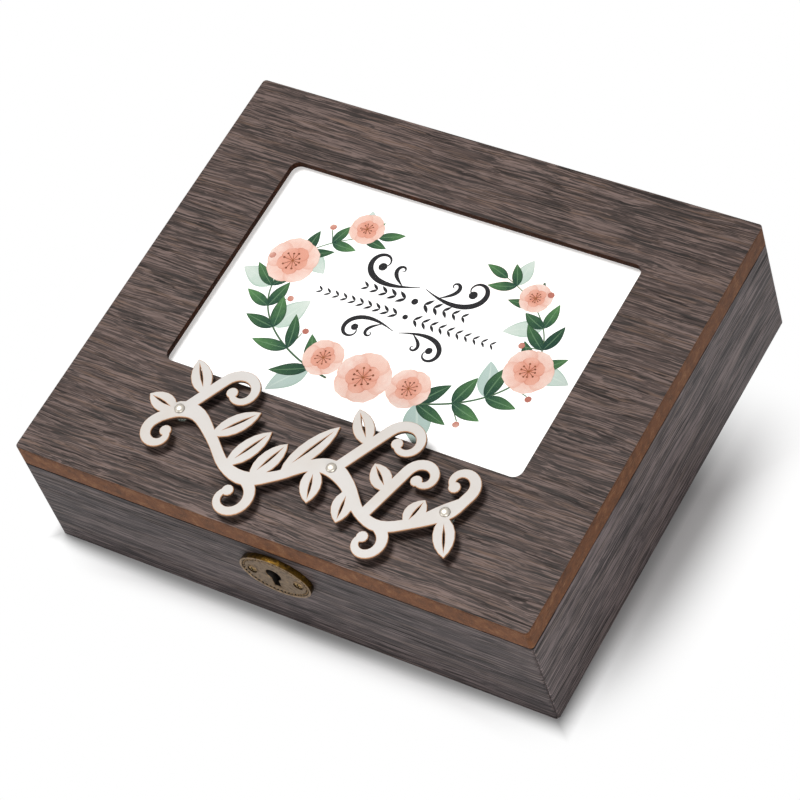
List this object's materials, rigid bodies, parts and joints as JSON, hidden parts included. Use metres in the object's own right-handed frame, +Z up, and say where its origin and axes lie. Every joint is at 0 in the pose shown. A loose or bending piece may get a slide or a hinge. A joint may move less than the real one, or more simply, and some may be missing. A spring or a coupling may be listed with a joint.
{
  "type": "memory box",
  "caption": "Shallow wood-look keepsake box with a hinged picture-window lid, a raised cut-out scroll, and a small link lock behind an oval keyhole plate.",
  "frame": {"origin": "middle of the box's flat underside, where the box rests", "axes": "+X to the right along the length, +Y to the back where the hinges are, +Z up"},
  "size_m": [0.21, 0.1858, 0.0624],
  "materials": {
    "wall_board": "fibreboard faced with grey-brown wood-look film, satin",
    "lid_board": "fibreboard with painted brown edges, satin",
    "oak_sheet": "grey-brown oak-look sheet, satin",
    "hardboard": "plain hardboard",
    "felt": "black felt",
    "lining_velvet": "dark velvet paper",
    "clear_glass": "clear picture glass",
    "printed_card": "smooth printed card",
    "pearl_board": "laser-cut board with pearl paint",
    "clear_plastic": "clear moulded plastic",
    "nickel": "bright nickel",
    "antique_brass": "antiqued brass",
    "plain_brass": "satin brass",
    "lock_steel": "plated sheet steel",
    "bumper_rubber": "matt rubber"
  },
  "bodies": {
    "base": {"front_wall": "wall_board", "back_wall": "wall_board", "left_wall": "wall_board", "right_wall": "wall_board", "bottom_panel": "hardboard", "bottom_felt": "felt", "floor_lining": "lining_velvet", "front_lining": "lining_velvet", "back_lining": "lining_velvet", "left_lining": "lining_velvet", "right_lining": "lining_velvet", "escutcheon_plate": "antique_brass", "escutcheon_screw_left": "antique_brass", "escutcheon_screw_right": "antique_brass", "lock_case": "lock_steel", "lock_cap": "lock_steel", "lock_spring": "lock_steel", "lock_screw_left": "plain_brass", "lock_screw_right": "plain_brass", "lid_bumper_left": "bumper_rubber", "lid_bumper_right": "bumper_rubber", "hinge_base_leaf_left": "plain_brass", "hinge_base_leaf_right": "plain_brass", "hinge_pin_left": "plain_brass", "hinge_pin_right": "plain_brass", "hinge_base_screw_left_1": "plain_brass", "hinge_base_screw_left_2": "plain_brass", "hinge_base_screw_right_1": "plain_brass", "hinge_base_screw_right_2": "plain_brass"},
    "lid": {"lid_panel": "lid_board", "lid_veneer": "oak_sheet", "glass_pane": "clear_glass", "print_card": "printed_card", "backing_board": "hardboard", "scroll_ornament": "pearl_board", "ornament_spacer_left": "clear_plastic", "ornament_spacer_middle": "clear_plastic", "ornament_spacer_right": "clear_plastic", "ornament_rivet_left": "nickel", "ornament_rivet_middle": "nickel", "ornament_rivet_right": "nickel", "strike_plate": "plain_brass", "strike_screw_left": "plain_brass", "strike_screw_right": "plain_brass", "hinge_lid_leaf_left": "plain_brass", "hinge_lid_leaf_right": "plain_brass", "hinge_lid_screw_left_1": "plain_brass", "hinge_lid_screw_left_2": "plain_brass", "hinge_lid_screw_right_1": "plain_brass", "hinge_lid_screw_right_2": "plain_brass", "turn_button_screw_left": "plain_brass", "turn_button_screw_right": "plain_brass", "turn_button_screw_front": "plain_brass", "turn_button_screw_back": "plain_brass"},
    "bolt": {"lock_bolt": "plain_brass"},
    "button_left": {"turn_button_left": "plain_brass"},
    "button_right": {"turn_button_right": "plain_brass"},
    "button_front": {"turn_button_front": "plain_brass"},
    "button_back": {"turn_button_back": "plain_brass"}
  },
  "joints": [
    {"name": "lid_hinge", "type": "hinge", "parent": "base", "child": "lid", "pos_m": [0, 0.0921, 0.0468], "axis": [-1, 0, 0], "range_deg": [0, 100]},
    {"name": "bolt_slide", "type": "slide", "parent": "base", "child": "bolt", "axis": [1, 0, 0], "range_m": [0, 0.005]},
    {"name": "button_left_turn", "type": "hinge", "parent": "lid", "child": "button_left", "pos_m": [-0.081, 0.0112, 0.0465], "axis": [0, 0, 1], "continuous": true},
    {"name": "button_right_turn", "type": "hinge", "parent": "lid", "child": "button_right", "pos_m": [0.081, 0.0112, 0.0465], "axis": [0, 0, 1], "continuous": true},
    {"name": "button_front_turn", "type": "hinge", "parent": "lid", "child": "button_front", "pos_m": [0, -0.0444, 0.0465], "axis": [0, 0, 1], "continuous": true},
    {"name": "button_back_turn", "type": "hinge", "parent": "lid", "child": "button_back", "pos_m": [0, 0.0668, 0.0465], "axis": [0, 0, 1], "continuous": true}
  ]
}
